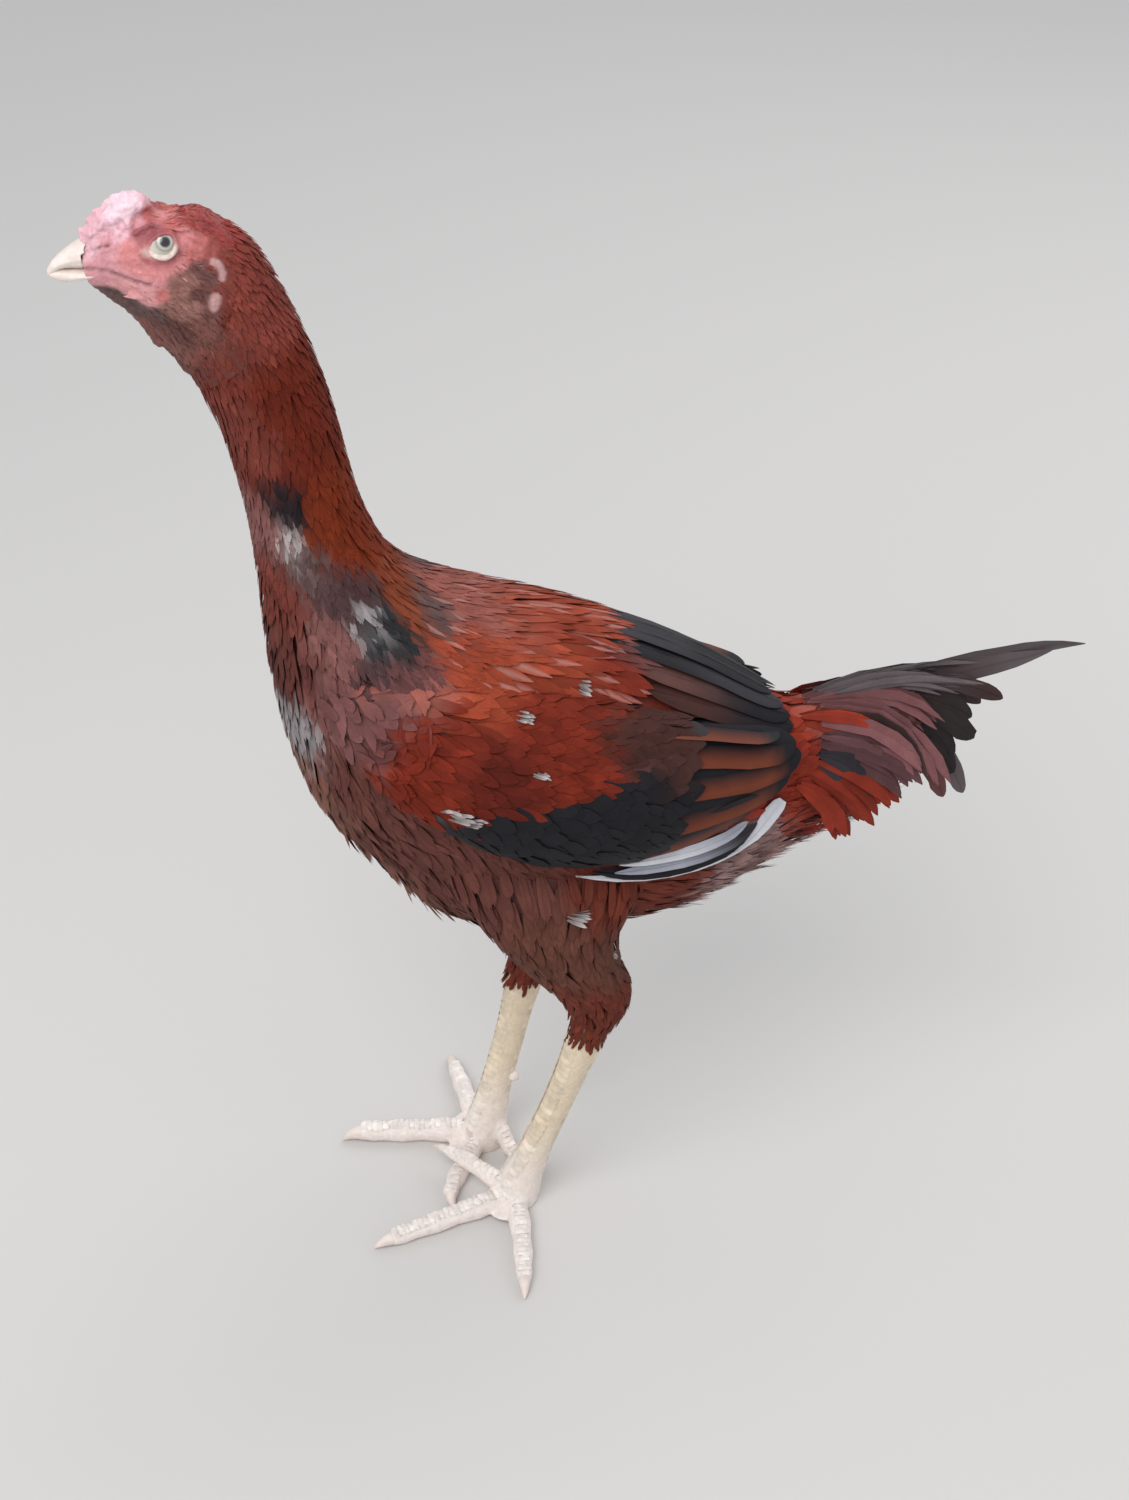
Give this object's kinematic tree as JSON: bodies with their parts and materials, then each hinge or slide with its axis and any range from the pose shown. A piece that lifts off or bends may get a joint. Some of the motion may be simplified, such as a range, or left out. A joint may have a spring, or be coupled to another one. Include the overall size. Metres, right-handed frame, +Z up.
{
  "type": "chicken",
  "caption": "Life-size still model of a young game cockerel standing upright with folded wings, a bare pale-legged stance and red, brown and black plumage.",
  "frame": {"origin": "centre of the bird's whole footprint on the floor it stands on", "axes": "+Z up; the bird faces -X; its left side is towards -Y"},
  "size_m": [0.538, 0.2119, 0.6516],
  "materials": {
    "body_plumage": "matte",
    "loose_plumage": "matte",
    "quill_feathers": "matte",
    "face_skin": "satin",
    "comb_skin": "satin",
    "scaled_skin": "satin",
    "horn": "satin",
    "eye": "gloss"
  },
  "bodies": {
    "root": {"head": "face_skin", "comb": "comb_skin", "beak_upper": "horn", "beak_lower": "horn", "eye_left": "eye", "eye_right": "eye", "neck_upper": "body_plumage", "neck_lower": "body_plumage", "breast": "body_plumage", "rump": "loose_plumage", "tail": "loose_plumage", "tail_fan": "quill_feathers", "tail_long_feather": "quill_feathers", "wing_left": "loose_plumage", "wing_right": "loose_plumage", "thigh_left": "body_plumage", "thigh_right": "body_plumage", "shank_left": "scaled_skin", "shank_right": "scaled_skin", "spur_left": "horn", "spur_right": "horn", "toe_left_middle": "scaled_skin", "toe_left_outer": "scaled_skin", "toe_left_inner": "scaled_skin", "toe_left_hind": "scaled_skin", "toe_right_middle": "scaled_skin", "toe_right_outer": "scaled_skin", "toe_right_inner": "scaled_skin", "toe_right_hind": "scaled_skin", "claw_left_middle": "horn", "claw_left_outer": "horn", "claw_left_inner": "horn", "claw_left_hind": "horn", "claw_right_middle": "horn", "claw_right_outer": "horn", "claw_right_inner": "horn", "claw_right_hind": "horn"}
  },
  "joints": []
}
